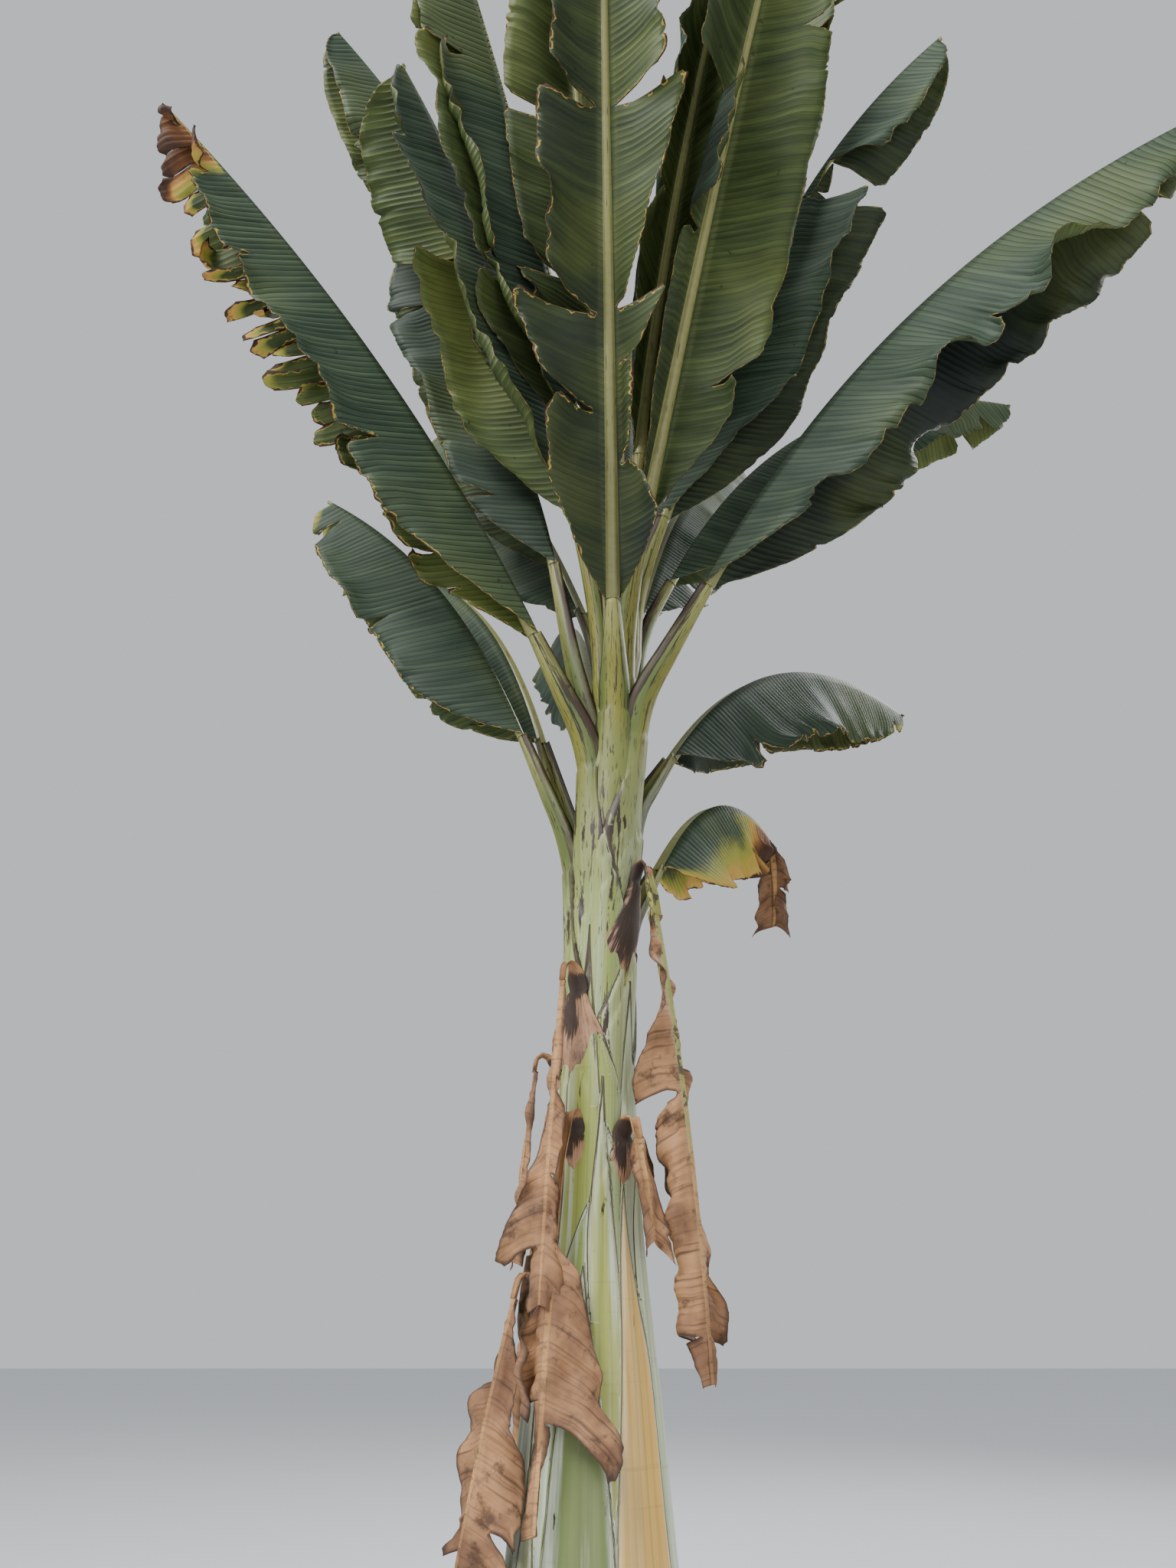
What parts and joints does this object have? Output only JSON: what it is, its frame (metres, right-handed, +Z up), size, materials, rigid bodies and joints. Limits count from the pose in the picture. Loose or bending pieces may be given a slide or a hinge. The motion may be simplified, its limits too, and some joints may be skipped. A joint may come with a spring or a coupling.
{
  "type": "snow banana plant",
  "caption": "Whole tall banana plant: a waxy tapering false trunk, a full crown of long ribbed blades on channelled stalks, and dead leaves hanging against the trunk.",
  "frame": {"origin": "centre of the flat cut under the false trunk, at ground level", "axes": "+Z up; -Y towards the side that the picture shows; +X to the right as that side is seen"},
  "size_m": [4.1896, 3.5633, 7.5257],
  "materials": {
    "false_trunk": "pale yellow-green leaf sheaths under a whitish wax, with dark scars",
    "leaf_stalk": "smooth yellow-green with dry brown edges",
    "leaf_blade": "ribbed grey-green upper side, yellower satin underside, torn brown edges",
    "dead_stalk": "shrunken and dull, yellow-brown to black-brown",
    "dead_leaf": "dry, papery and creased, tan to brown"
  },
  "bodies": {
    "root": {"back_blade": "leaf_blade", "back_left_blade": "leaf_blade", "back_left_stalk": "leaf_stalk", "back_right_blade": "leaf_blade", "back_right_stalk": "leaf_stalk", "back_stalk": "leaf_stalk", "dead_back_blade": "dead_leaf", "dead_back_left_blade": "dead_leaf", "dead_back_left_stalk": "dead_stalk", "dead_back_stalk": "dead_stalk", "dead_front_blade": "dead_leaf", "dead_front_stalk": "dead_stalk", "dead_left_blade": "dead_leaf", "dead_left_stalk": "dead_stalk", "dead_low_left_blade": "dead_leaf", "dead_low_left_stalk": "dead_stalk", "dead_right_blade": "dead_leaf", "dead_right_stalk": "dead_stalk", "dead_small_right": "dead_leaf", "dead_strip": "dead_leaf", "front_blade": "leaf_blade", "front_right_blade": "leaf_blade", "front_right_stalk": "leaf_stalk", "front_stalk": "leaf_stalk", "inner_front_blade": "leaf_blade", "inner_front_stalk": "leaf_stalk", "inner_right_blade": "leaf_blade", "inner_right_stalk": "leaf_stalk", "left_blade": "leaf_blade", "left_front_blade": "leaf_blade", "left_front_stalk": "leaf_stalk", "left_stalk": "leaf_stalk", "left_upper_blade": "leaf_blade", "left_upper_stalk": "leaf_stalk", "long_left_blade": "leaf_blade", "long_left_stalk": "leaf_stalk", "long_right_blade": "leaf_blade", "long_right_stalk": "leaf_stalk", "low_left_back_blade": "leaf_blade", "low_left_back_stalk": "leaf_stalk", "low_left_blade": "leaf_blade", "low_left_stalk": "leaf_stalk", "low_right_blade": "leaf_blade", "low_right_stalk": "leaf_stalk", "right_back_blade": "leaf_blade", "right_back_stalk": "leaf_stalk", "right_blade": "leaf_blade", "right_stalk": "leaf_stalk", "trunk": "false_trunk", "upper_back_blade": "leaf_blade", "upper_back_left_blade": "leaf_blade", "upper_back_left_stalk": "leaf_stalk", "upper_back_stalk": "leaf_stalk", "upper_left_blade": "leaf_blade", "upper_left_stalk": "leaf_stalk", "upper_right_blade": "leaf_blade", "upper_right_stalk": "leaf_stalk", "yellowing_blade": "leaf_blade", "yellowing_stalk": "leaf_stalk", "yellowing_tip": "dead_leaf"}
  },
  "joints": []
}
